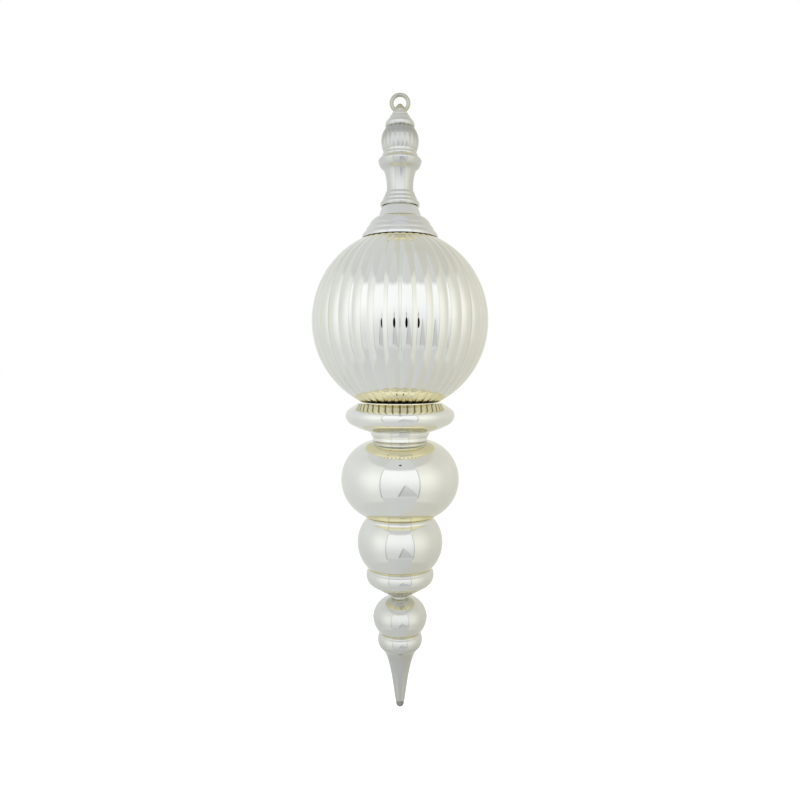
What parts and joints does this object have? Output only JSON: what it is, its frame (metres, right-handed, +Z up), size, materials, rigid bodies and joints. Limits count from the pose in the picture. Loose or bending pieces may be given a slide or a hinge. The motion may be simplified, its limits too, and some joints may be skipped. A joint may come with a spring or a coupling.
{
  "type": "hanging finial ornament",
  "caption": "Long hanging finial ornament with a mirror finish: a moulded eye and stepped cap over a ribbed ball, then a disc and stacked bulbs that taper to a spike.",
  "frame": {"origin": "centre of the hanging eye's ring, where the hook or cord passes", "axes": "+Z up along the ornament's axis, +Y along the eye's hole to the back, +X to the right, the front is -Y"},
  "size_m": [0.2026, 0.2026, 0.7113],
  "materials": {
    "silver_mirror": "vacuum-metallised, mirror bright with a faint warm tint",
    "grey_plastic": "satin"
  },
  "bodies": {
    "root": {"hanging_eye": "silver_mirror", "cap": "silver_mirror", "skirt": "silver_mirror", "ball": "silver_mirror", "drop": "silver_mirror", "tip_plug": "grey_plastic"}
  },
  "joints": []
}
